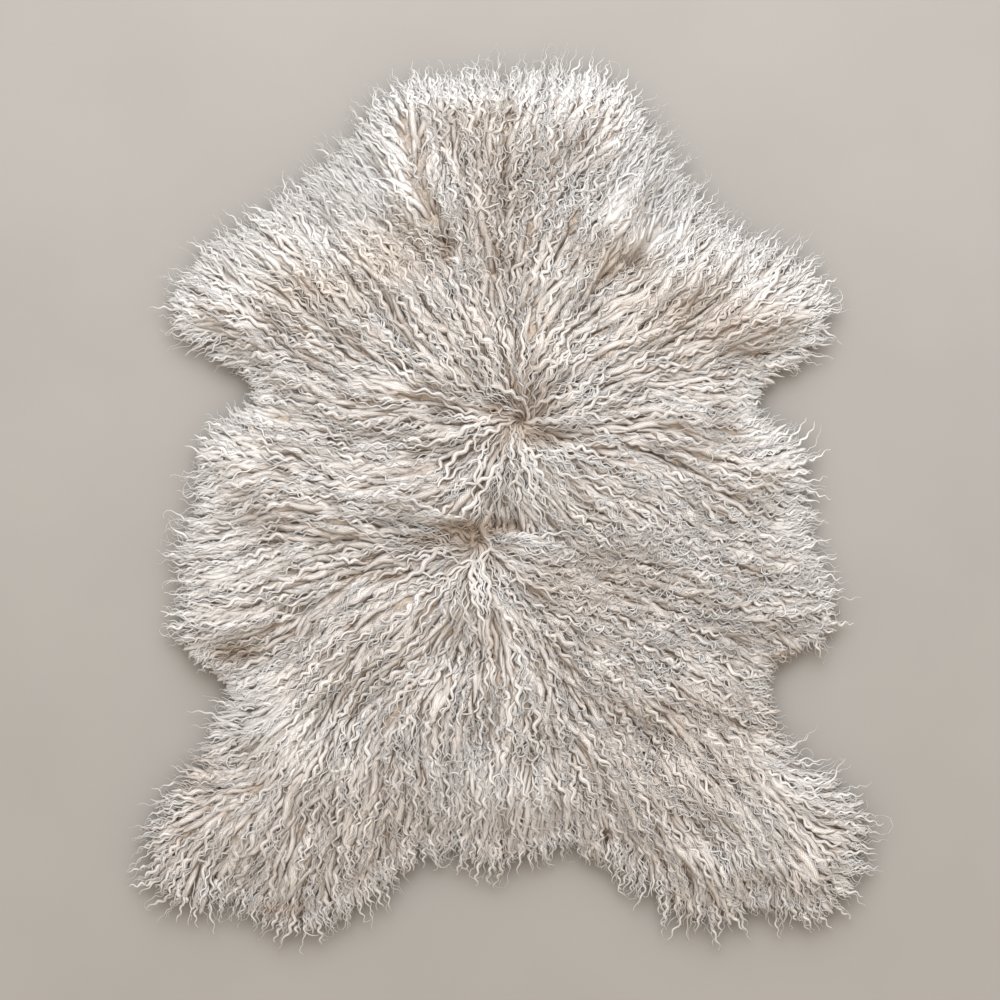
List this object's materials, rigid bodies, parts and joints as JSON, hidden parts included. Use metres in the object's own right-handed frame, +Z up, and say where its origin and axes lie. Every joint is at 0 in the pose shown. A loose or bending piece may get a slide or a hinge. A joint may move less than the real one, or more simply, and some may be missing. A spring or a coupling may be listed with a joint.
{
  "type": "sheepskin rug",
  "caption": "Natural sheepskin rug, a whole pelt lying flat: tanned hide with long curly cream wool that parts at two whorls and hangs over the edge in locks.",
  "frame": {"origin": "on the floor, under the middle of the rug's bounding box", "axes": "+Z up out of the wool, +Y towards the neck end, +X to the right of someone who looks down on the wool with the neck end away from them"},
  "size_m": [0.7584, 0.9014, 0.0597],
  "materials": {
    "hide": "tanned sheep hide, flesh side, buffed to a soft nap",
    "fleece": "undyed long curly wool, cream tips over taupe shadows"
  },
  "bodies": {
    "root": {"hide": "hide", "fleece": "fleece"}
  },
  "joints": []
}
